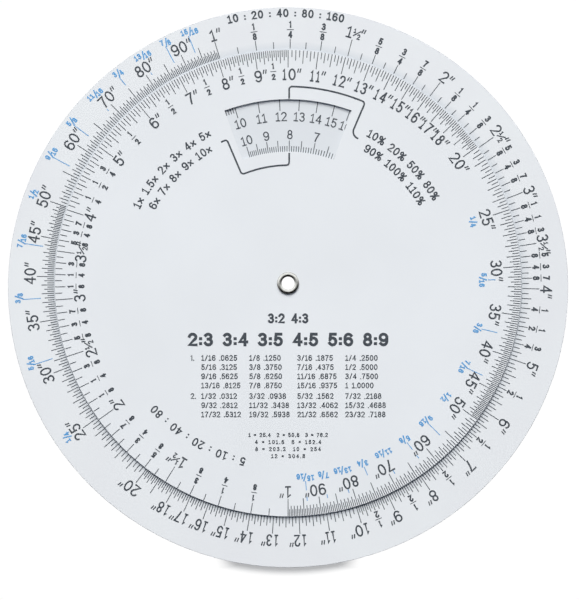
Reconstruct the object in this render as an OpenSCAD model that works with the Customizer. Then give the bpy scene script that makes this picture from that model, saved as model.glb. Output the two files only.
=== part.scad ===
// Proportional scale wheel: two printed vinyl discs on one eyelet.
// The wheel lies flat. The pivot is the Z axis, the top of the scale is +Y,
// and the lowest point of the eyelet's clinched roll is at Z = 0.
// Turns are degrees clockwise from +Y, as a reader of the dial counts them.

/* [Base disc] */
// Diameter of the base disc
base_d = 158.75; // [156:0.25:166]
// Thickness of the base disc's sheet
base_t = 0.76; // [0.5:0.02:1.5]
// How far below the pivot the middle of the cut edge lies
edge_drop = 1.23; // [0:0.01:2]
// How far above the pivot the middle of the base print lies
print_rise = 0.14; // [0:0.01:0.4]

/* [Dial disc] */
// Diameter of the turning dial
dial_d = 132.3; // [132:0.1:132.6]
// Thickness of the dial's sheet
dial_t = 0.51; // [0.3:0.02:1]
// Air between the two discs, which clears the base print
disc_gap = 0.1; // [0.08:0.01:0.2]
// Bevel that the cutting die leaves on the edges of both discs
edge_break = 0.08; // [0.02:0.01:0.15]

/* [Reading window] */
// Radius of the window's edge nearest the pivot
window_r_in = 37.25; // [37.1:0.05:37.6]
// Radius of the window's edge furthest from the pivot
window_r_out = 52.1; // [51.8:0.05:52.3]
// Angle that the window spans
window_span = 40.5; // [30:0.5:44]

/* [Eyelet] */
// Diameter of the hole through the eyelet
eyelet_bore_d = 3.7; // [3:0.1:4.4]
// Thickness of the eyelet's metal
eyelet_wall = 0.28; // [0.2:0.02:0.32]
// Diameter of the rolled flange on the dial
flange_d = 6.2; // [6:0.1:8]
// Diameter of the clinched roll under the base disc
clinch_d = 5.9; // [5.6:0.1:7.5]
// Clearance between the barrel and the base disc's hole
seat_clearance = 0.03; // [0.02:0.01:0.05]
// Clearance between the barrel and the dial's hole, and under the flange
running_clearance = 0.08; // [0.05:0.01:0.1]

/* [Print] */
// Thickness of the printed ink
ink_t = 0.03; // [0.02:0.01:0.04]
// Width of a black graduation
tick_w = 0.22; // [0.1:0.01:0.26]
// Width of a blue mark
blue_w = 0.23; // [0.1:0.01:0.3]
// Width of the two pointer lines
pointer_w = 0.48; // [0.2:0.02:0.6]
// Percentage under the pointer as the wheel is set
set_percent = 12.42; // [10.5:0.01:15]

/* [Pointers] */
// How far right of the middle both pointers reach the window
pointer_x = 0.31; // [0:0.01:0.5]
// Turn at which each pointer's leg runs
leg_turn = 23.1; // [22.8:0.1:25]
// Radius of the percentage pointer's arc above the window
percent_arc_r = 55.7; // [54.5:0.1:56]
// Radius at which the percentage pointer ends
percent_end_r = 45.5; // [43:0.1:47]
// Radius of the reduction pointer's arc below the window
times_arc_r = 33.4; // [31:0.1:34.5]
// Radius at which the reduction pointer ends
times_end_r = 44.2; // [42:0.1:46]

/* [Hidden] */
$fn = 96;
eps = 0.01;
vinyl = [0.9, 0.91, 0.93];
black_ink = [0.24, 0.25, 0.27];
blue_ink = [0.29, 0.56, 0.85];
nickel = [0.8, 0.8, 0.79];

// Heights, from the surface that the wheel lies on
barrel_r = eyelet_bore_d/2 + eyelet_wall;
flange_roll_r = (flange_d - eyelet_bore_d)/4;
clinch_roll_r = (clinch_d - eyelet_bore_d)/4;
base_z = clinch_roll_r;
base_top = base_z + base_t;
dial_z = base_top + disc_gap;
dial_top = dial_z + dial_t;
flange_z = dial_top + running_clearance;

// Every scale is logarithmic, and ten times a value is half a turn on.
decade_turn = 180;
function scale_turn(value) = decade_turn*log(value);
base_turn = scale_turn(10/set_percent);
function outer_turn(size) = scale_turn(size) + base_turn;
function inner_turn(size) = scale_turn(size) + decade_turn;
function percent_turn(percent) = scale_turn(percent/10) + base_turn;
function times_turn(times) = scale_turn(10/times) + base_turn;
function divides(step, value) = abs(value/step - round(value/step)) < eps/10;

// A band of a size scale: from, to, step, and the steps that get a full tick,
// a middle tick whatever follows, a long tick and a middle tick. The rest are short.
// The halves from 10 to 20 have a length of their own on the outer scale.
size_bands = [
    [1, 4, 1/16, 1/2, 1/8, 1/2, 1/8],
    [4, 5, 1/16, 1, 1/8, 1, 1/8],
    [5, 10, 1/16, 1, 1/2, 1/4, 1/8],
    [10, 20, 1/8, 1, 1, 1/2, 1/4],
    [20, 50, 1/4, 5, 5, 1, 1/2],
    [50, 100, 1/2, 5, 1, 1, 1]
];
function size_rank(size, band) =
    divides(band[3], size) ? 0 :
    divides(band[4], size) ? 2 :
    divides(band[5], size) ? (band[0] == 10 ? 4 : 1) :
    divides(band[6], size) ? 2 : 3;
outer_start_r = dial_d/2 + 0.25;
inner_start_r = dial_d/2 - 0.15;
outer_ends = [71.25, 69.9, 69.1, 68.25, 69.4];
inner_ends = [61.1, 62.3, 63.1, 64.05, 62.3];

// A band of the percentage scale: from, to, step and the step of a long tick
percent_bands = [
    [10, 20, 1, 1],
    [20, 50, 1, 5],
    [50, 100, 1, 10],
    [100, 200, 10, 20],
    [200, 500, 10, 50],
    [500, 1000, 10, 100]
];
percent_start_r = window_r_out + 0.5;
percent_ends = [48.75, 50.35];
times_start_r = window_r_in - 0.25;
times_ends = [40.3, 38.7];

// Blue marks stand at sixteenths of a hundred. Where a numeral is in the way,
// only part of the mark is printed.
outer_blue = [
    [[5, 6, 7, 9, 10, 14, 15], 70.2, 75.45],
    [[12], 72.4, 75.45],
    [[11, 13], 70.4, 71.1]
];
inner_blue = [
    [[6, 7, 9], 56.3, 60.9],
    [[10, 12, 15], 56.3, 58.9],
    [[10, 11, 13, 14, 15], 60.8, 61.9],
    [[5], 56.6, 58.8]
];
percent_bend_r = 0.85;
percent_end_bend_r = 2;
percent_end_turn = 25.9;
times_bend_r = 0.9;
times_end_bend_r = 0.7;
times_end_turn = 25.4;

module tick(turn, r_from, r_to, width = tick_w) {
    rotate([0, 0, -turn])
        translate([-width/2, min(r_from, r_to), 0])
            cube([width, abs(r_to - r_from), ink_t]);
}

module on_base_print() {
    translate([0, print_rise, base_top]) children();
}

module on_dial() {
    translate([0, 0, dial_top]) children();
}

// A flat disc with a small bevel on both rims
module sheet_disc(d, t) {
    rotate_extrude($fn = 360)
        polygon([[0, 0], [d/2 - edge_break, 0], [d/2, edge_break], [d/2, t - edge_break],
                 [d/2 - edge_break, t], [0, t]]);
}

module base_disc() {
    color(vinyl)
        translate([0, 0, base_z])
            difference() {
                translate([0, -edge_drop, 0]) sheet_disc(base_d, base_t);
                translate([0, 0, -1]) cylinder(h = base_t + 2, r = barrel_r + seat_clearance);
            }
}

module window_cut() {
    rotate([0, 0, 90 - window_span/2])
        rotate_extrude(angle = window_span, $fn = 360)
            translate([window_r_in, -1]) square([window_r_out - window_r_in, dial_t + 2]);
}

module dial_disc() {
    color(vinyl)
        translate([0, 0, dial_z])
            difference() {
                sheet_disc(dial_d, dial_t);
                translate([0, 0, -1]) cylinder(h = dial_t + 2, r = barrel_r + running_clearance);
                window_cut();
            }
}

// Half of a rolled lip in section. It leaves the barrel's wall and curls out and down.
module roll_section(roll_r) {
    translate([eyelet_bore_d/2 + roll_r, 0])
        intersection() {
            difference() {
                circle(r = roll_r);
                circle(r = roll_r - eyelet_wall);
            }
            translate([-2*roll_r, 0]) square([4*roll_r, 2*roll_r]);
        }
}

module eyelet() {
    color(nickel)
        rotate_extrude() {
            translate([eyelet_bore_d/2, base_z]) square([eyelet_wall, flange_z - base_z]);
            translate([0, flange_z]) roll_section(flange_roll_r);
            translate([0, base_z]) mirror([0, 1]) roll_section(clinch_roll_r);
        }
}

module size_ticks(bands, turn_of_one, start_r, ends) {
    for (band = bands)
        for (i = [0 : round((band[1] - band[0])/band[2]) - 1])
            let (size = band[0] + i*band[2])
                tick(scale_turn(size) + turn_of_one, start_r, ends[size_rank(size, band)]);
}

module fraction_ticks(groups, turn_of_one) {
    for (group = groups)
        for (sixteenths = group[0])
            tick(scale_turn(100*sixteenths/16) + turn_of_one, group[1], group[2], blue_w);
}

module outer_scale_ticks() {
    color(black_ink) on_base_print()
        size_ticks(size_bands, outer_turn(1), outer_start_r, outer_ends);
}

module outer_fraction_ticks() {
    color(blue_ink) on_base_print() fraction_ticks(outer_blue, outer_turn(1));
}

module inner_scale_ticks() {
    color(black_ink) on_dial()
        size_ticks(size_bands, inner_turn(1), inner_start_r, inner_ends);
}

module inner_fraction_ticks() {
    color(blue_ink) on_dial() fraction_ticks(inner_blue, inner_turn(1));
}

module percent_scale_ticks() {
    color(black_ink) on_base_print()
        for (band = percent_bands)
            for (percent = [band[0] : band[2] : band[1] - band[2]])
                tick(percent_turn(percent), percent_start_r,
                     divides(band[3], percent) ? percent_ends[0] : percent_ends[1]);
}

module times_scale_ticks() {
    color(black_ink) on_base_print()
        for (tenths = [10 : 100])
            tick(times_turn(tenths/10), times_start_r,
                 divides(5, tenths) ? times_ends[0] : times_ends[1]);
}

// Points round an arc, whose middle is centre_r from the pivot at centre_turn
function arc(centre_r, centre_turn, r, turn_from, turn_to) =
    let (steps = ceil(abs(turn_to - turn_from)/(r < 5 ? 9 : 1)))
        [for (i = [0 : steps])
            let (turn = turn_from + (turn_to - turn_from)*i/steps)
                centre_r*[sin(centre_turn), cos(centre_turn)] + r*[sin(turn), cos(turn)]];
// How far a bend's middle lies round from the radius that it touches
function bend_turn(bend_r, centre_r) = asin(bend_r/centre_r);
// The same points without those that meet the one before
function spaced(points) =
    [for (i = [0 : len(points) - 1])
        if (i == 0 || norm(points[i] - points[max(i, 1) - 1]) > eps) points[i]];
function reversed(points) = [for (i = [len(points) - 1 : -1 : 0]) points[i]];

// Up from the window, round above its corner, down its side and in to the scale.
// side is 1 for the line's left edge on that way, and -1 for its right edge.
function percent_edge(side) =
    let (half = side*pointer_w/2,
         corner_r = percent_arc_r - percent_bend_r,
         end_r = percent_end_r + percent_end_bend_r,
         first = bend_turn(pointer_x + percent_bend_r, corner_r),
         last = leg_turn - bend_turn(percent_bend_r, corner_r),
         foot = leg_turn + bend_turn(percent_end_bend_r, end_r))
        spaced(concat(
            [[pointer_x - half, window_r_out + 0.15]],
            arc(corner_r, first, percent_bend_r + half, -90, first),
            arc(0, 0, percent_arc_r + half, first, last),
            arc(corner_r, last, percent_bend_r + half, last, leg_turn + 90),
            arc(end_r, foot, percent_end_bend_r - half, leg_turn + 270, foot + 180),
            arc(0, 0, percent_end_r + half, foot, percent_end_turn)));

// Down from the window, round below its corner, up its side and in to the scale
function times_edge(side) =
    let (half = side*pointer_w/2,
         corner_r = times_arc_r + times_bend_r,
         end_r = times_end_r - times_end_bend_r,
         first = -bend_turn(times_bend_r - pointer_x, corner_r),
         last = bend_turn(times_bend_r, corner_r) - leg_turn,
         foot = -leg_turn - bend_turn(times_end_bend_r, end_r))
        spaced(concat(
            [[pointer_x + half, window_r_in - 0.35]],
            arc(corner_r, first, times_bend_r + half, 90, 180 + first),
            arc(0, 0, times_arc_r - half, first, last),
            arc(corner_r, last, times_bend_r + half, 180 + last, 270 - leg_turn),
            arc(end_r, foot, times_end_bend_r - half, 90 - leg_turn, foot),
            arc(0, 0, times_end_r - half, foot, -times_end_turn)));

module pointer_line(left_edge, right_edge) {
    color(black_ink) on_dial()
        linear_extrude(ink_t) polygon(concat(left_edge, reversed(right_edge)));
}

module percent_pointer() {
    pointer_line(percent_edge(1), percent_edge(-1));
}

module times_pointer() {
    pointer_line(times_edge(1), times_edge(-1));
}

base_disc();
outer_scale_ticks();
outer_fraction_ticks();
percent_scale_ticks();
times_scale_ticks();
eyelet();
dial_disc();
inner_scale_ticks();
inner_fraction_ticks();
percent_pointer();
times_pointer();
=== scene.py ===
import math
import bpy
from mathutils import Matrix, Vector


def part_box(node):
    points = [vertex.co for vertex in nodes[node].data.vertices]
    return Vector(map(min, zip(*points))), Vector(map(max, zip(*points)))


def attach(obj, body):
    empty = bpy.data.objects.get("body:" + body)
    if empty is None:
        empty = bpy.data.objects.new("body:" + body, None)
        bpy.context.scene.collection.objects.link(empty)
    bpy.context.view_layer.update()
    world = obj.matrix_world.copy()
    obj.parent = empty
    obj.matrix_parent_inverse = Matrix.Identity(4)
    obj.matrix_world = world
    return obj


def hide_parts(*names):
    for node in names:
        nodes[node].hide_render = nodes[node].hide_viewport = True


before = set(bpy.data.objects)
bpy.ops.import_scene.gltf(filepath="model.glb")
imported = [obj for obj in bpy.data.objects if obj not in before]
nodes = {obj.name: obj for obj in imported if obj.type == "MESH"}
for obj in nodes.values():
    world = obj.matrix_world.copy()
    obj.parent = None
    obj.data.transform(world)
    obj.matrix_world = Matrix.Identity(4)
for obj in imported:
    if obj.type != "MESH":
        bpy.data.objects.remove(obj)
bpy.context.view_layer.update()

mm = 0.001
white = (1, 1, 1, 1)
print("frame loaded:", len(nodes), "nodes")


def linear(hexColour):
    parts = [int(hexColour[i:i + 2], 16) / 255 for i in (0, 2, 4)]
    return [c / 12.92 if c <= 0.04045 else ((c + 0.055) / 1.055) ** 2.4 for c in parts] + [1]


def addNode(tree, kind, settings=None, links=None, **options):
    node = tree.nodes.new(kind)
    for name, value in options.items():
        setattr(node, name, value)
    for name, value in (settings or {}).items():
        node.inputs[name].default_value = value
    for name, source in (links or {}).items():
        tree.links.new(source, node.inputs[name])
    return node


def newMaterial(name):
    material = bpy.data.materials.new(name)
    material.use_nodes = True
    material.node_tree.nodes.clear()
    return material, material.node_tree


def setRamp(ramp, ends, startColour, endColour):
    for element, position, colour in zip(ramp.color_ramp.elements, ends, (startColour, endColour)):
        element.position, element.color = position, linear(colour)


def perMm(size):
    return 1 / (size * mm)  # a noise scale for spots of that size in mm


def addMesh(name, points, faces, material):
    mesh = bpy.data.meshes.new(name)
    mesh.from_pydata(points, [], faces)
    mesh.materials.append(material)
    piece = bpy.data.objects.new(name, mesh)
    bpy.context.scene.collection.objects.link(piece)
    return piece


# Lengths are in mm and angles in degrees, apart from the few in metres that say so
vinylSheet = dict(colour="E9EBEC", cloud="E6E8E9", cloudSize=31, cloudEnds=(0.35, 0.65),
                  grainSize=0.45, grainHeight=0.004, grainStrength=0.25,
                  scuffSize=9, scuffSquash=14, scuffTurn=28, scuffEnds=(0.3, 0.7),
                  roughness=(0.38, 0.48), ior=1.53,
                  edge="9EA4AD", edgeEnds=(0.95, 0.65), edgeDuller=0.2)
# Under the dial the base is painted a little greyer, as shade seen through the window.
baseSheet = dict(vinylSheet, colour="E9EBEB", cloud="E6E7E8", underDialShade="DEE1E3", underDialShadeEnds=(66, 63),
                 darkRing="D3D7DA", darkRingEnds=(68.6, 66.1), darkRingFrom=60.1)


def makeVinyl(name, look):
    # Rigid PVC sheet, calendered and die cut: cool white, faintly cloudy, satin, and duller
    # on the cut edge, whose colour is a painted shade. The grain is really about 0.1 mm and
    # is drawn coarser so that it shows.
    material, tree = newMaterial(name)
    place = addNode(tree, "ShaderNodeTexCoord").outputs["Object"]
    cloud = addNode(tree, "ShaderNodeTexNoise", {"Scale": perMm(look["cloudSize"]), "Detail": 3},
                    {"Vector": place}).outputs["Fac"]
    grain = addNode(tree, "ShaderNodeTexNoise", {"Scale": perMm(look["grainSize"]), "Detail": 2},
                    {"Vector": place}).outputs["Fac"]
    scuffPlace = addNode(tree, "ShaderNodeMapping",
                         {"Scale": (1, look["scuffSquash"], 1),
                          "Rotation": (0, 0, math.radians(look["scuffTurn"]))},
                         {"Vector": place}).outputs[0]
    scuff = addNode(tree, "ShaderNodeTexNoise",
                    {"Scale": perMm(look["scuffSize"]), "Detail": 4, "Roughness": 0.62},
                    {"Vector": scuffPlace}).outputs["Fac"]
    shade = addNode(tree, "ShaderNodeValToRGB", None, {"Fac": cloud})
    setRamp(shade, look["cloudEnds"], look["cloud"], look["colour"])
    colour = shade.outputs[0]
    if "underDialShade" in look:
        # a little greyer under the dial, a painted shade where the window shows it,
        # and darker in a ring along the dial's edge, fading outward
        reach = addNode(tree, "ShaderNodeVectorMath", None, {0: place},
                        operation="LENGTH").outputs["Value"]
        start, full = look["underDialShadeEnds"]
        underDialShaded = addNode(tree, "ShaderNodeMapRange",
                         {"From Min": start * mm, "From Max": full * mm},
                         {"Value": reach}).outputs[0]
        colour = addNode(tree, "ShaderNodeMixRGB", {"Color2": linear(look["underDialShade"])},
                         {"Fac": underDialShaded, "Color1": colour}).outputs[0]
        start, full = look["darkRingEnds"]
        darkRing = addNode(tree, "ShaderNodeMapRange", {"From Min": start * mm, "From Max": full * mm},
                       {"Value": reach}).outputs[0]
        ring = addNode(tree, "ShaderNodeMath", {1: look["darkRingFrom"] * mm}, {0: reach},
                       operation="GREATER_THAN").outputs[0]
        darkRing = addNode(tree, "ShaderNodeMath", None, {0: darkRing, 1: ring},
                       operation="MULTIPLY").outputs[0]
        colour = addNode(tree, "ShaderNodeMixRGB", {"Color2": linear(look["darkRing"])},
                         {"Fac": darkRing, "Color1": colour}).outputs[0]
    # the cut edge is where the surface no longer faces up or down
    normal = addNode(tree, "ShaderNodeNewGeometry").outputs["Normal"]
    upward = addNode(tree, "ShaderNodeSeparateXYZ", None, {"Vector": normal}).outputs["Z"]
    level = addNode(tree, "ShaderNodeMath", None, {0: upward}, operation="ABSOLUTE").outputs[0]
    start, full = look["edgeEnds"]
    cut = addNode(tree, "ShaderNodeMapRange", {"From Min": start, "From Max": full},
                  {"Value": level}).outputs[0]
    # painted shade: the cut edge is drawn darker, so the bevel lit by the lamp shows no bright rim
    colour = addNode(tree, "ShaderNodeMixRGB", {"Color2": linear(look["edge"])},
                     {"Fac": cut, "Color1": colour}).outputs[0]
    start, full = look["scuffEnds"]
    smooth, rough = look["roughness"]
    satin = addNode(tree, "ShaderNodeMapRange",
                    {"From Min": start, "From Max": full, "To Min": smooth, "To Max": rough},
                    {"Value": scuff}).outputs[0]
    satin = addNode(tree, "ShaderNodeMath", {1: look["edgeDuller"]}, {0: cut, 2: satin},
                    operation="MULTIPLY_ADD").outputs[0]
    bump = addNode(tree, "ShaderNodeBump",
                   {"Strength": look["grainStrength"], "Distance": look["grainHeight"] * mm},
                   {"Height": grain}).outputs[0]
    sheet = addNode(tree, "ShaderNodeBsdfPrincipled", {"IOR": look["ior"]},
                    {"Base Color": colour, "Roughness": satin, "Normal": bump})
    addNode(tree, "ShaderNodeOutputMaterial", None, {"Surface": sheet.outputs[0]})
    return material


blackPrint = dict(dense="3B4046", thin="4D5359", patchSize=0.5, patchEnds=(0.38, 0.72),
                  roughness=(0.42, 0.6), ior=1.5, filmHeight=0.006, filmStrength=0.3)
bluePrint = dict(blackPrint, dense="5495CC", thin="76AFD9")


def makeScreenInk(name, look):
    # Screen printed vinyl ink: a flat opaque film, a little thinner where the mesh let less through
    material, tree = newMaterial(name)
    place = addNode(tree, "ShaderNodeTexCoord").outputs["Object"]
    patch = addNode(tree, "ShaderNodeTexNoise", {"Scale": perMm(look["patchSize"]), "Detail": 4},
                    {"Vector": place}).outputs["Fac"]
    shade = addNode(tree, "ShaderNodeValToRGB", None, {"Fac": patch})
    setRamp(shade, look["patchEnds"], look["dense"], look["thin"])
    smooth, rough = look["roughness"]
    gloss = addNode(tree, "ShaderNodeMapRange", {"To Min": smooth, "To Max": rough},
                    {"Value": patch}).outputs[0]
    bump = addNode(tree, "ShaderNodeBump",
                   {"Strength": look["filmStrength"], "Distance": look["filmHeight"] * mm},
                   {"Height": patch}).outputs[0]
    film = addNode(tree, "ShaderNodeBsdfPrincipled", {"IOR": look["ior"]},
                   {"Base Color": shade.outputs[0], "Roughness": gloss, "Normal": bump})
    addNode(tree, "ShaderNodeOutputMaterial", None, {"Surface": film.outputs[0]})
    return material


# The curl of the flange is painted darker, as shade next to the dial.
nickelPlate = dict(bright="EEEFEB", dull="DADBD7", patchSize=0.9, patchEnds=(0.3, 0.6),
                   roughEnds=(0.3, 0.7), roughness=(0.12, 0.27), curlShade="8E8F88",
                   curlShadeEnds=(2.98, 3.07), ringGap=0.07, ringHeight=0.01, ringStrength=0.2)


def makeNickel(name, look):
    # Nickel plate on pressed brass: mirror-like, faintly warm, with fine rings from the setting
    # die. The rings are really about 0.02 mm apart and are drawn coarser.
    material, tree = newMaterial(name)
    place = addNode(tree, "ShaderNodeTexCoord").outputs["Object"]
    patch = addNode(tree, "ShaderNodeTexNoise", {"Scale": perMm(look["patchSize"]), "Detail": 5},
                    {"Vector": place}).outputs["Fac"]
    flat = addNode(tree, "ShaderNodeVectorMath", {1: (1, 1, 0)}, {0: place},
                   operation="MULTIPLY").outputs[0]
    reach = addNode(tree, "ShaderNodeVectorMath", None, {0: flat},
                    operation="LENGTH").outputs["Value"]
    rings = addNode(tree, "ShaderNodeTexNoise", {"Scale": perMm(look["ringGap"]), "Detail": 2},
                    {"W": reach}, noise_dimensions="1D").outputs["Fac"]
    shade = addNode(tree, "ShaderNodeValToRGB", None, {"Fac": patch})
    setRamp(shade, look["patchEnds"], look["dull"], look["bright"])
    # painted shade: darker on the curl of the flange, in the narrow gap next to the dial
    start, full = look["curlShadeEnds"]
    curlShade = addNode(tree, "ShaderNodeMapRange", {"From Min": start * mm, "From Max": full * mm},
                   {"Value": reach}).outputs[0]
    colour = addNode(tree, "ShaderNodeMixRGB", {"Color2": linear(look["curlShade"])},
                     {"Fac": curlShade, "Color1": shade.outputs[0]}).outputs[0]
    start, full = look["roughEnds"]
    smooth, rough = look["roughness"]
    gloss = addNode(tree, "ShaderNodeMapRange",
                    {"From Min": start, "From Max": full, "To Min": smooth, "To Max": rough},
                    {"Value": patch}).outputs[0]
    bump = addNode(tree, "ShaderNodeBump",
                   {"Strength": look["ringStrength"], "Distance": look["ringHeight"] * mm},
                   {"Height": rings}).outputs[0]
    metal = addNode(tree, "ShaderNodeBsdfPrincipled", {"Metallic": 1},
                    {"Base Color": colour, "Roughness": gloss, "Normal": bump})
    addNode(tree, "ShaderNodeOutputMaterial", None, {"Surface": metal.outputs[0]})
    return material


blackInk = makeScreenInk("screen_printed_black", blackPrint)
blueInk = makeScreenInk("screen_printed_blue", bluePrint)
nickel = makeNickel("nickel_plated_brass", nickelPlate)
finishes = {"base_disc": makeVinyl("white_vinyl_with_painted_shade", baseSheet),
            "dial_disc": makeVinyl("calendered_white_vinyl", vinylSheet), "eyelet": nickel}
for name, node in nodes.items():
    node.data.materials.clear()
    node.data.materials.append(finishes.get(name, blueInk if "fraction" in name else blackInk))
print("materials made")


eyeletShape = dict(bore=1.85, barrel=2.13, dome=0.27, headCrest=2.45, headRim=3.1, headUnder=2,
                   rollCrest=2.375, rollRim=2.95, rollUnder=0.55, tuck=0.04,
                   sides=120, halfDomeSteps=12, curlSteps=8, sharpTurn=30)


def rolledLip(look, crest, rim):
    # Radius and depth below the crest: from the bore over a shallow dome to a tight curl
    dome, steps = look["dome"], look["halfDomeSteps"]
    half = crest - look["bore"]
    outline = [(look["bore"] + half * i / steps, dome * (1 - i / steps) ** 2)
               for i in range(2 * steps + 1)]
    slope = math.atan(2 * dome / half)
    curl = (rim - crest - half) / (1 - math.sin(slope))
    for i in range(1, look["curlSteps"] + 1):
        lean = slope + (math.pi / 2 - slope) * i / look["curlSteps"]
        outline.append((crest + half + curl * (math.sin(lean) - math.sin(slope)),
                        dome + curl * (math.cos(slope) - math.cos(lean))))
    return outline


def makeEyelet(look, material):
    # Domed flange on the dial, barrel, and the clinched roll below. The flange is thinner than
    # the CAD's half round roll, because only a shallow dome shows such narrow bright rings.
    low, high = (corner.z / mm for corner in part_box("eyelet"))
    head = rolledLip(look, look["headCrest"], look["headRim"])
    roll = rolledLip(look, look["rollCrest"], look["rollRim"])
    outline = [(r, high - depth) for r, depth in head]
    outline += [(look["headRim"] - look["tuck"], look["headUnder"]),
                (look["barrel"], look["headUnder"]), (look["barrel"], look["rollUnder"]),
                (look["rollRim"] - look["tuck"], look["rollUnder"])]
    outline += [(r, low + depth) for r, depth in reversed(roll)]
    points, faces, count = [], [], len(outline)
    for side in range(look["sides"]):
        turn = 2 * math.pi * side / look["sides"]
        points += [(r * math.cos(turn) * mm, r * math.sin(turn) * mm, z * mm) for r, z in outline]
        here, there = side * count, (side + 1) % look["sides"] * count
        for i in range(count):
            j = (i + 1) % count
            faces.append((here + i, here + j, there + j, there + i))
    piece = addMesh("rolled_eyelet", points, faces, material)
    piece.data.shade_smooth()
    piece.data.set_sharp_from_angle(angle=math.radians(look["sharpTurn"]))
    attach(piece, "base")
    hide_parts("eyelet")


makeEyelet(eyeletShape, nickel)
print("eyelet made")

curveStep = 15  # degrees between the points of a round stroke


def curve(x, y, rx, ry, start, end):
    steps = max(2, math.ceil(abs(end - start) / curveStep))
    turns = [math.radians(start + (end - start) * i / steps) for i in range(steps + 1)]
    return [(x + rx * math.cos(t), y + ry * math.sin(t)) for t in turns]


def bow(a, b, c, steps=6):
    return [tuple((1 - t) ** 2 * p + 2 * t * (1 - t) * q + t * t * r for p, q, r in zip(a, b, c))
            for t in (i / steps for i in range(steps + 1))]


# Width of each sign and the middle lines of its strokes, in a height of 1. The pen follows them.
# The letter i stands for a 1 without a foot, as in small fractions.
signs = {
    "0": (0.56, [curve(0.28, 0.5, 0.28, 0.5, 90, 450)]),
    "1": (0.42, [[(0.02, 0.82), (0.23, 1), (0.23, 0)], [(0, 0), (0.42, 0)]]),
    "i": (0.18, [[(0, 0.84), (0.15, 1), (0.15, 0)]]),
    "2": (0.55, [curve(0.27, 0.73, 0.27, 0.27, 165, -35) + [(0, 0), (0.55, 0)]]),
    "3": (0.53, [curve(0.25, 0.765, 0.24, 0.235, 150, -90),
                 curve(0.26, 0.265, 0.27, 0.265, 90, -155)]),
    "4": (0.58, [[(0.43, 0), (0.43, 1)], [(0.36, 0.88), (0, 0.28), (0.58, 0.28)]]),
    "5": (0.54, [[(0.49, 1), (0.1, 1), (0.06, 0.5)], curve(0.26, 0.32, 0.28, 0.32, 128, -150)]),
    "6": (0.56, [curve(0.28, 0.66, 0.28, 0.34, 38, 180) + [(0, 0.3)],
                 curve(0.28, 0.3, 0.28, 0.3, 180, 540)]),
    "7": (0.54, [[(0, 1)] + bow((0.54, 1), (0.28, 0.6), (0.17, 0))]),
    "8": (0.54, [curve(0.27, 0.765, 0.22, 0.235, -90, 270),
                 curve(0.27, 0.265, 0.27, 0.265, 90, 450)]),
    "9": (0.56, [curve(0.28, 0.34, 0.28, 0.34, -142, 0) + [(0.56, 0.7)],
                 curve(0.28, 0.7, 0.28, 0.3, 0, 360)]),
    '"': (0.33, [[(0, 0.72), (0.08, 1)], [(0.22, 0.72), (0.3, 1)]]),
    "/": (0.4, [[(0, 0), (0.4, 1)]]),
    ".": (0.02, [[(0, 0), (0.02, 0)]]),
    ":": (0.02, [[(0, 0.12), (0.02, 0.12)], [(0, 0.58), (0.02, 0.58)]]),
    "=": (0.42, [[(0, 0.36), (0.42, 0.36)], [(0, 0.64), (0.42, 0.64)]]),
    "%": (0.8, [curve(0.16, 0.78, 0.16, 0.22, 90, 450), curve(0.64, 0.22, 0.16, 0.22, 90, 450),
                [(0.14, 0), (0.66, 1)]]),
    "x": (0.48, [[(0, 0.1), (0.48, 0.62)], [(0, 0.62), (0.48, 0.1)]]),
    " ": (0.3, []),
}


def penText(text, height, pen, stretch=1, gap=0.12):
    # The lines of a text whose lower left corner is at 0, and its width
    lines, x, reach = [], 0, height - pen
    for sign in text:
        width, strokes = signs[sign]
        lines += [[(x + pen / 2 + px * reach * stretch, pen / 2 + py * reach) for px, py in stroke]
                  for stroke in strokes]
        x += width * reach * stretch + pen + gap * reach
    return lines, x - gap * reach


def spreadText(text, height, pen, stretch, target):
    # The same, spaced out to a width
    _, width = penText(text, height, pen, stretch, 0)
    gap = (target - width) / (height - pen) / (len(text) - 1)
    return penText(text, height, pen, stretch, gap)


def shifted(lines, dx, dy):
    return [[(x + dx, y + dy) for x, y in line] for line in lines]


# Ink stands a little above the CAD's own marks. Strokes that cross lie at different levels.
inkFilm = dict(height=0.032, levels=4, levelRise=0.002, mitreLimit=0.66)
setPercent = 12.42  # what one pointer reads at rest, as in the photo
decadeTurn = 180  # degrees for each factor of ten
basePrint = dict(body="base", sheetTop=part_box("base_disc")[1].z, centre=0.14,
                 turnOfOne=decadeTurn * math.log10(10 / setPercent))
dialPrint = dict(body="dial", sheetTop=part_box("dial_disc")[1].z, centre=0, turnOfOne=decadeTurn)


def newLayer(sheet):
    return dict(sheet=sheet, points=[], faces=[], strokes=0)


def sideOf(a, b):
    length = math.dist(a, b)
    return (-(b[1] - a[1]) / length, (b[0] - a[0]) / length)


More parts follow.
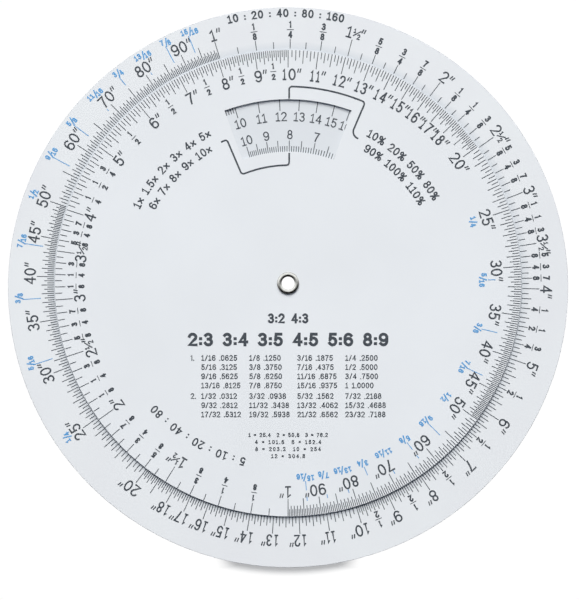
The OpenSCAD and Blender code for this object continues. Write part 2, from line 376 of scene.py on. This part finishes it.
def addLine(layer, line, pen, place):
    # One pen stroke as a closed slip of ink, with mitred corners and square ends
    layer["strokes"] += 1
    floor = layer["sheet"]["sheetTop"]
    level = layer["strokes"] % inkFilm["levels"]
    top = floor + (inkFilm["height"] + level * inkFilm["levelRise"]) * mm
    ring = math.dist(line[0], line[-1]) < 1e-6  # it ends where it starts
    line = line[:-1] if ring else line
    count = len(line)
    first = len(layer["points"])
    for i, (x, y) in enumerate(line):
        sides = []
        if ring or i > 0:
            sides.append(sideOf(line[i - 1], line[i]))
        if ring or i < count - 1:
            sides.append(sideOf(line[i], line[(i + 1) % count]))
        sx, sy = sum(s[0] for s in sides), sum(s[1] for s in sides)
        size = math.hypot(sx, sy)
        sx, sy = sx / size, sy / size
        half = pen / 2 / max(inkFilm["mitreLimit"], sx * sides[0][0] + sy * sides[0][1])
        if not ring and i in (0, count - 1):
            out = -pen / 2 if i == 0 else pen / 2
            x, y = x + out * sy, y - out * sx
        for side in (half, -half):
            across, up = place(x + side * sx, y + side * sy)
            layer["points"] += [(across * mm, up * mm, floor), (across * mm, up * mm, top)]
    # each point of the line has four corners: left low, left high, right low, right high
    for i in range(count if ring else count - 1):
        a, b = first + 4 * i, first + 4 * ((i + 1) % count)
        layer["faces"] += [(a + 1, a + 3, b + 3, b + 1), (a, b, b + 2, a + 2),
                           (a, a + 1, b + 1, b), (a + 2, b + 2, b + 3, a + 3)]
    if not ring:
        a, b = first, first + 4 * (count - 1)
        layer["faces"] += [(a, a + 2, a + 3, a + 1), (b, b + 1, b + 3, b + 2)]


def layRound(layer, lines, pen, turn, reach):
    # Lines whose middle is at x 0 go on the sheet, top outward, at a radius and at a turn that
    # counts clockwise from the top of the wheel
    centre = layer["sheet"]["centre"]
    sine, cosine = math.sin(math.radians(turn)), math.cos(math.radians(turn))

    def place(x, y):
        return (x * cosine + (reach + y) * sine, centre - x * sine + (reach + y) * cosine)
    for line in lines:
        addLine(layer, line, pen, place)


def layFlat(layer, lines, pen, x, y):
    for line in lines:
        addLine(layer, line, pen, lambda px, py: (x + px, y + py))


def finishLayer(layer, name, material):
    piece = addMesh(name, layer["points"], layer["faces"], material)
    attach(piece, layer["sheet"]["body"])


def scaleTurn(layer, size):
    return decadeTurn * math.log10(size) + layer["sheet"]["turnOfOne"]


def fractionTexts(top, bottom):
    part = math.gcd(top, bottom)
    return str(top // part), str(bottom // part)


# A small half is drawn across a slanted line beside a whole number, with a finer pen
smallHalf = dict(height=1.35, lowHeight=1.6, pen=0.32, stretch=0.9, gap=0.25, rise=1.73,
                 lowPlace=(1.24, 0.1), slash=[(0.2, 0.98), (1.98, 2.56)])
numeral = dict(height=3.38, pen=0.45, inchPen=0.34, inchGap=0.36, teenInchGap=0.18, teenFoot=1.05,
               teenGap=0.6, teenStretch=0.78, lean=0, leans={"10": 0.3}, half=smallHalf)
stack = dict(digit=2.0, digitWidth=0.47, pen=0.45, bar=1.75, barPen=0.2, rise=1.52, fall=1.37)


def numberLines(text, look):
    # The size scales have their numbers from 10 to 19 drawn narrower, as on the real print
    height, pen = look["height"], look["pen"]
    if "teenFoot" not in look or len(text) != 2 or text[0] != "1":
        return penText(text, height, pen)
    oneStretch = (look["teenFoot"] - pen) / (signs["1"][0] * (height - pen))
    nextStretch = {"0": 1, "1": oneStretch}.get(text[1], look["teenStretch"])
    lines, width = penText("1", height, pen, oneStretch)
    more, moreWidth = penText(text[1], height, pen, nextStretch)
    start = width + look["teenGap"]
    return lines + shifted(more, start, 0), start + moreWidth


def layNumber(layer, number, turn, look):
    text = str(number)
    lines, width = numberLines(text, look)
    bottom = look["middle"] - look["height"] / 2
    turn += look["leans"].get(text, look["lean"])
    layRound(layer, shifted(lines, -width / 2, 0), look["pen"], turn, bottom)
    if "inchPen" in look:
        mark, _ = penText('"', look["height"], look["inchPen"])
        gap = look["teenInchGap"] if 12 <= number <= 19 else look["inchGap"]
        layRound(layer, shifted(mark, width / 2 + gap, 0), look["inchPen"], turn, bottom)


def layMixedHalf(layer, whole, look):
    # A whole number, the small half and the inch mark
    half = look["half"]
    big, width = penText(str(whole), look["height"], look["pen"])
    start = width + half["gap"]
    upper, _ = penText("1", half["height"], half["pen"], half["stretch"])
    lower, lowerWidth = penText("2", half["lowHeight"], half["pen"], half["stretch"])
    small = shifted(upper, 0, half["rise"]) + shifted(lower, *half["lowPlace"]) + [half["slash"]]
    total = start + half["lowPlace"][0] + lowerWidth
    mark, _ = penText('"', look["height"], look["inchPen"])
    turn = scaleTurn(layer, whole + 0.5)
    bottom = look["middle"] - look["height"] / 2
    layRound(layer, shifted(big, -total / 2, 0), look["pen"], turn, bottom)
    layRound(layer, shifted(mark, total / 2, 0), look["inchPen"], turn, bottom)
    layRound(layer, shifted(small, start - total / 2, 0), half["pen"], turn, bottom)


def layStack(layer, top, bottom, size, look):
    # A fraction as a stack: number, bar, number
    turn = scaleTurn(layer, size)
    stretch = look["digitWidth"] / signs["2"][0]
    for text, offset in zip(fractionTexts(top, bottom), (look["rise"], -look["fall"])):
        lines, width = penText(text.replace("1", "i"), look["digit"], look["pen"], stretch)
        layRound(layer, shifted(lines, -width / 2, 0), look["pen"], turn,
                 look["middle"] + offset - look["digit"] / 2)
    bar = [(-look["bar"] / 2, 0), (look["bar"] / 2, 0)]
    layRound(layer, [bar], look["barPen"], turn, look["middle"])


def sizeScale(sheet, numberLook, stackLook):
    layer = newLayer(sheet)
    for whole in (1, 2, 3):
        layMixedHalf(layer, whole, numberLook)
        for eighths in (1, 2, 3, 5, 6, 7):
            layStack(layer, eighths, 8, whole + eighths / 8, stackLook)
    for quarters in (1, 2, 3):
        layStack(layer, quarters, 4, 4 + quarters / 4, stackLook)
    for whole in range(5, 10):
        layStack(layer, 1, 2, whole + 0.5, stackLook)
    for number in [*range(1, 19), *range(20, 50, 5), *range(50, 100, 10)]:
        layNumber(layer, number, scaleTurn(layer, number), numberLook)
    return layer


# on the real print a few numbers stand a little late
outerNumeral = dict(numeral, middle=73.18, leans={"10": 0.3, "70": 0.1, "80": 0.13, "90": 0.2})
outerStack = dict(stack, middle=71.72)
finishLayer(sizeScale(basePrint, outerNumeral, outerStack), "outer_scale_numbers",
            blackInk)
innerNumeral = dict(numeral, middle=59.14, height=3.35, pen=0.46, teenInchGap=0.38)
innerStack = dict(stack, middle=60.08, digit=1.8, bar=1.45, rise=1.59, fall=1.53)
finishLayer(sizeScale(dialPrint, innerNumeral, innerStack), "inner_scale_numbers",
            blackInk)
print("size scales numbered")

outerBlue = dict(height=2.4, digit=1.66, pen=0.38, slash=1.15, numberGap=0.08, stepBack=0.45,
                 stretch=0.9, middle=76.4, lean=0.3, sixteenthLean=0.5)
innerBlue = dict(height=2.3, digit=1.66, pen=0.38, slash=1.1, numberGap=0.08, stepBack=0.3,
                 stretch=0.88, middle=55.2, lean=0, sixteenthLean=0)


def slashFraction(top, bottom, look):
    # A fraction on one line: raised number, slash, lowered number
    pen = look["pen"]
    lines, width = penText(top, look["digit"], pen, look["stretch"])
    lines = shifted(lines, 0, look["height"] - look["digit"])
    slashStart = width + look["numberGap"]
    slashEnd = slashStart + look["slash"]
    lines.append([(slashStart + pen / 2, pen / 2), (slashEnd - pen / 2, look["height"] - pen / 2)])
    more, moreWidth = penText(bottom, look["digit"], pen, look["stretch"])
    start = slashEnd - look["stepBack"] + look["numberGap"]
    return lines + shifted(more, start, 0), start + moreWidth


def blueScale(sheet, look):
    # Sixteenths below an inch, on the stretch of the scale from 10 to 100
    layer = newLayer(sheet)
    for sixteenths in range(4, 16):
        top, bottom = fractionTexts(sixteenths, 16)
        lines, width = slashFraction(top, bottom, look)
        lean = look["sixteenthLean"] if bottom == "16" else look["lean"]
        turn = scaleTurn(layer, 100 * sixteenths / 16) + lean
        layRound(layer, shifted(lines, -width / 2, 0), look["pen"], turn,
                 look["middle"] - look["height"] / 2)
    return layer


finishLayer(blueScale(basePrint, outerBlue), "outer_fraction_numbers", blueInk)
finishLayer(blueScale(dialPrint, innerBlue), "inner_fraction_numbers", blueInk)
print("blue fractions made")

# in the window they all stand a little late
percentNumeral = dict(height=2.64, pen=0.34, middle=47.08, lean=0.3, leans={})
timesNumeral = dict(percentNumeral, middle=41.97, lean=0.2, leans={"10": 0.7})
windowNumbers = newLayer(basePrint)
for percent in [*range(10, 20), *range(20, 50, 5), *range(50, 100, 10), *range(100, 200, 20),
                *range(200, 500, 50), *range(500, 1000, 100)]:
    layNumber(windowNumbers, percent, scaleTurn(windowNumbers, percent / 10), percentNumeral)
for times in range(1, 11):
    layNumber(windowNumbers, times, scaleTurn(windowNumbers, 10 / times), timesNumeral)
finishLayer(windowNumbers, "window_scale_numbers", blackInk)
print("window scales numbered")


def layArc(layer, look, text, middle, startTurn, endTurn):
    # A row of signs round the pivot, spread evenly between two turns
    height, pen = look["height"], look["pen"]
    widths = [penText(sign, height, pen)[1] for sign in text]
    arc = math.radians(endTurn - startTurn) * middle
    gap = (arc - sum(widths)) / (len(text) - 1)
    reach = 0
    for sign, width in zip(text, widths):
        turn = startTurn + math.degrees((reach + width / 2) / middle)
        lines, _ = penText(sign, height, pen)
        layRound(layer, shifted(lines, -width / 2, 0), pen, turn, middle - height / 2)
        reach += width + gap


# Rows of plain numbers and ratios: text, radius, first turn, last turn
rimRow = dict(height=2.4, pen=0.46, row=("10 : 20 : 40 : 80 : 160", 76.45, -13, 12))
rimLayer = newLayer(basePrint)
layArc(rimLayer, rimRow, *rimRow["row"])
finishLayer(rimLayer, "rim_ratio_row", blackInk)

captionRows = dict(height=2.45, pen=0.41, rows=[
    ("1x 1.5x 2x 3x 4x 5x", 48.1, -63.5, -27.5),
    ("6x 7x 8x 9x 10x", 44.1, -61.2, -29.8),
    ("10% 20% 50% 80%", 48.3, 28, 60.5),
    ("90% 100% 110%", 44.2, 29.5, 59.5),
    ("5 : 10 : 20 : 40 : 80", 52.1, 193.5, 227.5)])
captionLayer = newLayer(dialPrint)
for row in captionRows["rows"]:
    layArc(captionLayer, captionRows, *row)
finishLayer(captionLayer, "pointer_number_rows", blackInk)

ratioHeading = dict(text="2:3 3:4 3:5 4:5 5:6 8:9", height=3.86, pen=0.84, stretch=1.14,
                    width=56.8, bottom=-17.9,
                    small=dict(text="3:2 4:3", height=2.85, pen=0.6, bottom=-11.4))


def makeHeading(look):
    layer, small = newLayer(dialPrint), look["small"]
    lines, width = spreadText(look["text"], look["height"], look["pen"], look["stretch"],
                              look["width"])
    layFlat(layer, lines, look["pen"], -width / 2, look["bottom"])
    lines, width = penText(small["text"], small["height"], small["pen"])
    layFlat(layer, lines, small["pen"], -width / 2, small["bottom"])
    finishLayer(layer, "ratio_heading", blackInk)


# Fractions with their decimals, sixteenths first and then thirty-seconds, in columns. Under
# them stand a few sizes in inches and mm, each row spread to a width.
decimalTable = dict(height=1.64, pen=0.28, left=-24.6, columns=4, columnStep=13.6, bottom=-22,
                    rowStep=2.6, breakRow=4, breakStep=0.4, marks={0: "i.", 4: "2."},
                    markLeft=-27.6,
                    inches=dict(height=1.2, pen=0.25, bottom=-43.6, rowStep=2, rows=[
                        ("1 = 25.4  2 = 50.8  3 = 76.2", 22.5),
                        ("4 = 101.6  6 = 152.4", 18.8),
                        ("8 = 203.2  10 = 254", 18.6),
                        ("12 = 304.8", 9.6)]))


def makeTable(look):
    layer, inches = newLayer(dialPrint), look["inches"]
    height, pen = look["height"], look["pen"]
    entries = [(n, 16) for n in range(1, 17)] + [(n, 32) for n in range(1, 24, 2)]
    for index, (top, bottom) in enumerate(entries):
        row, column = divmod(index, look["columns"])
        value = "1" if top == bottom else "/".join(fractionTexts(top, bottom))
        decimal = f"{top / bottom:.4f}".lstrip("0")
        y = look["bottom"] - row * look["rowStep"]
        if row >= look["breakRow"]:
            y -= look["breakStep"]
        lines, _ = penText(value + " " + decimal, height, pen)
        layFlat(layer, lines, pen, look["left"] + column * look["columnStep"], y)
        if column == 0 and row in look["marks"]:
            lines, _ = penText(look["marks"][row], height, pen)
            layFlat(layer, lines, pen, look["markLeft"], y)
    for row, (text, target) in enumerate(inches["rows"]):
        lines, width = spreadText(text, inches["height"], inches["pen"], 1, target)
        layFlat(layer, lines, inches["pen"], -width / 2,
                inches["bottom"] - row * inches["rowStep"])
    finishLayer(layer, "decimal_table", blackInk)


makeHeading(ratioHeading)
makeTable(decimalTable)
print("number rows and tables made")


def seenDirectly(tree, mirrored=None):
    # 1 for the camera and for what gloss and glass show. The floor hands in where it is mirrored.
    paths = addNode(tree, "ShaderNodeLightPath").outputs
    seen = addNode(tree, "ShaderNodeMath", None,
                   {0: paths["Is Glossy Ray"], 1: paths["Is Transmission Ray"]},
                   operation="MAXIMUM").outputs[0]
    if mirrored is not None:
        seen = addNode(tree, "ShaderNodeMath", None, {0: seen, 1: mirrored},
                       operation="MULTIPLY").outputs[0]
    return addNode(tree, "ShaderNodeMath", None, {0: seen, 1: paths["Is Camera Ray"]},
                   operation="MAXIMUM").outputs[0]


# Only a strip under the front edge keeps its shadow, as in the photo: within shadowSpan of the
# middle of the rim, up to shadowEnds on each side and in front of shadowFront. Metal and gloss
# see the floor as white only beyond mirrorReach, because the wheel covers the rest.
sweep = dict(colour="CFCFCE", metresEachWay=3, glow=1.01, shadowLift=0.44, rimMiddle=-1.23,
             shadowSpan=(80.4, 82.3), shadowEnds=(14.2, 21), shadowFront=-60, mirrorReach=85)


def makeFloor(look):
    # White paper sweep, lifted to plain white for the camera and for reflections
    material, tree = newMaterial("white_paper_sweep")
    place = addNode(tree, "ShaderNodeTexCoord").outputs["Object"]
    away = addNode(tree, "ShaderNodeVectorMath", {1: (0, look["rimMiddle"] * mm, 0)}, {0: place},
                   operation="SUBTRACT").outputs[0]
    away = addNode(tree, "ShaderNodeVectorMath", None, {0: away},
                   operation="LENGTH").outputs["Value"]
    split = addNode(tree, "ShaderNodeSeparateXYZ", None, {"Vector": place}).outputs
    aside = addNode(tree, "ShaderNodeMath", None, {0: split["X"]}, operation="ABSOLUTE").outputs[0]
    lift = addNode(tree, "ShaderNodeMath", {1: look["shadowFront"] * mm}, {0: split["Y"]},
                   operation="GREATER_THAN").outputs[0]
    for source, (start, full) in ((away, look["shadowSpan"]), (aside, look["shadowEnds"])):
        step = addNode(tree, "ShaderNodeMapRange", {"From Min": start * mm, "From Max": full * mm},
                       {"Value": source}, interpolation_type="SMOOTHSTEP").outputs[0]
        lift = addNode(tree, "ShaderNodeMath", None, {0: step, 1: lift},
                       operation="MAXIMUM").outputs[0]
    # painted shadow: the grey paper in the strip fades to white at its borders, around the real
    # cast shadow
    lift = addNode(tree, "ShaderNodeMapRange", {"To Min": look["shadowLift"]},
                   {"Value": lift}).outputs[0]
    fromPivot = addNode(tree, "ShaderNodeVectorMath", None, {0: place},
                        operation="LENGTH").outputs["Value"]
    mirrored = addNode(tree, "ShaderNodeMath", {1: look["mirrorReach"] * mm}, {0: fromPivot},
                       operation="GREATER_THAN").outputs[0]
    share = addNode(tree, "ShaderNodeMath", None, {0: seenDirectly(tree, mirrored), 1: lift},
                    operation="MULTIPLY").outputs[0]
    paper = addNode(tree, "ShaderNodeBsdfDiffuse", {"Color": linear(look["colour"])}).outputs[0]
    glow = addNode(tree, "ShaderNodeEmission",
                   {"Color": white, "Strength": look["glow"]}).outputs[0]
    both = addNode(tree, "ShaderNodeMixShader", None, {0: share, 1: paper, 2: glow}).outputs[0]
    addNode(tree, "ShaderNodeOutputMaterial", None, {"Surface": both})
    half = look["metresEachWay"]
    corners = [(-half, -half, 0), (half, -half, 0), (half, half, 0), (-half, half, 0)]
    addMesh("sweep", corners, [(0, 1, 2, 3)], material)


fillLight = dict(colour="C6DCFF", strength=0.125)


def makeWorld(look):
    # Plain white to look at, and a weak cool fill on everything it lights
    world = bpy.data.worlds.new("studio")
    bpy.context.scene.world = world
    world.use_nodes = True
    tree = world.node_tree
    tree.nodes.clear()
    seen = seenDirectly(tree)
    power = addNode(tree, "ShaderNodeMapRange", {"To Min": look["strength"], "To Max": 1},
                    {"Value": seen}).outputs[0]
    tint = addNode(tree, "ShaderNodeMixRGB", {"Color1": linear(look["colour"]), "Color2": white},
                   {"Fac": seen}).outputs[0]
    sky = addNode(tree, "ShaderNodeBackground", None, {"Color": tint, "Strength": power})
    addNode(tree, "ShaderNodeOutputWorld", None, {"Surface": sky.outputs[0]})


# In metres: both lamps are so far away that their light is as even over the wheel as in the photo
keyLamp = dict(power=5180, place=(-2, 14.2, 12.08), size=13)
lowLamp = dict(power=656, place=(6, 16.5, 9.35), size=8.5)


def addLamp(name, look):
    light = bpy.data.lights.new(name, "AREA")
    light.energy, light.size = look["power"], look["size"]
    lamp = bpy.data.objects.new(name, light)
    bpy.context.scene.collection.objects.link(lamp)
    lamp.visible_glossy = False
    x, y, z = lamp.location = look["place"]
    lamp.rotation_euler = (math.atan2(math.hypot(x, y), z), 0, math.atan2(x, -y))


# The reach is in metres, and the grey starts and ends at shares of it
hoodCloth = dict(reach=1.1, turn=0.15, start=-0.75, end=0.3, power=2.7, lowest=2, panel=(5, 4))


def addHood(look):
    # Cloth round the set, white behind the object and black in front, seen only in reflections
    material, tree = newMaterial("lit_cloth")
    reach = look["reach"]
    place = addNode(tree, "ShaderNodeTexCoord").outputs["Object"]
    along = addNode(tree, "ShaderNodeVectorMath", {1: (-look["turn"], 1, 0)}, {0: place},
                    operation="DOT_PRODUCT").outputs["Value"]
    level = addNode(tree, "ShaderNodeMapRange",
                    {"From Min": look["start"] * reach, "From Max": look["end"] * reach},
                    {"Value": along}).outputs[0]
    level = addNode(tree, "ShaderNodeMath", {1: look["power"]}, {0: level},
                    operation="POWER").outputs[0]
    cloth = addNode(tree, "ShaderNodeEmission", {"Color": white}, {"Strength": level}).outputs[0]
    addNode(tree, "ShaderNodeOutputMaterial", None, {"Surface": cloth})
    points, faces = [], []
    wide, tall = look["panel"]
    for azimuth in range(0, 360, wide):
        for rise in range(look["lowest"], 90, tall):
            first = len(points)
            for right, up in ((0, 0), (0, tall), (wide, tall), (wide, 0)):
                a, e = math.radians(azimuth + right), math.radians(rise + up)
                points.append((reach * math.sin(a) * math.cos(e),
                               reach * math.cos(a) * math.cos(e), reach * math.sin(e)))
            faces.append((first, first + 1, first + 2, first + 3))
    hood = addMesh("cloth_hood", points, faces, material)
    hood.visible_camera = hood.visible_diffuse = hood.visible_shadow = False


photoView = dict(place=(0.4, -4.78, 851.7), lens=180, clip=(0.01, 20))  # the clip is in metres


def addCamera(look):
    cameraData = bpy.data.cameras.new("camera")
    cameraData.lens = look["lens"]
    cameraData.clip_start, cameraData.clip_end = look["clip"]
    camera = bpy.data.objects.new("camera", cameraData)
    camera.location = [v * mm for v in look["place"]]
    bpy.context.scene.collection.objects.link(camera)
    bpy.context.scene.camera = camera


makeFloor(sweep)
makeWorld(fillLight)
addLamp("key_softbox", keyLamp)
addLamp("low_softbox", lowLamp)
addHood(hoodCloth)
addCamera(photoView)
bpy.context.scene.view_settings.view_transform = "Standard"
print("studio made")
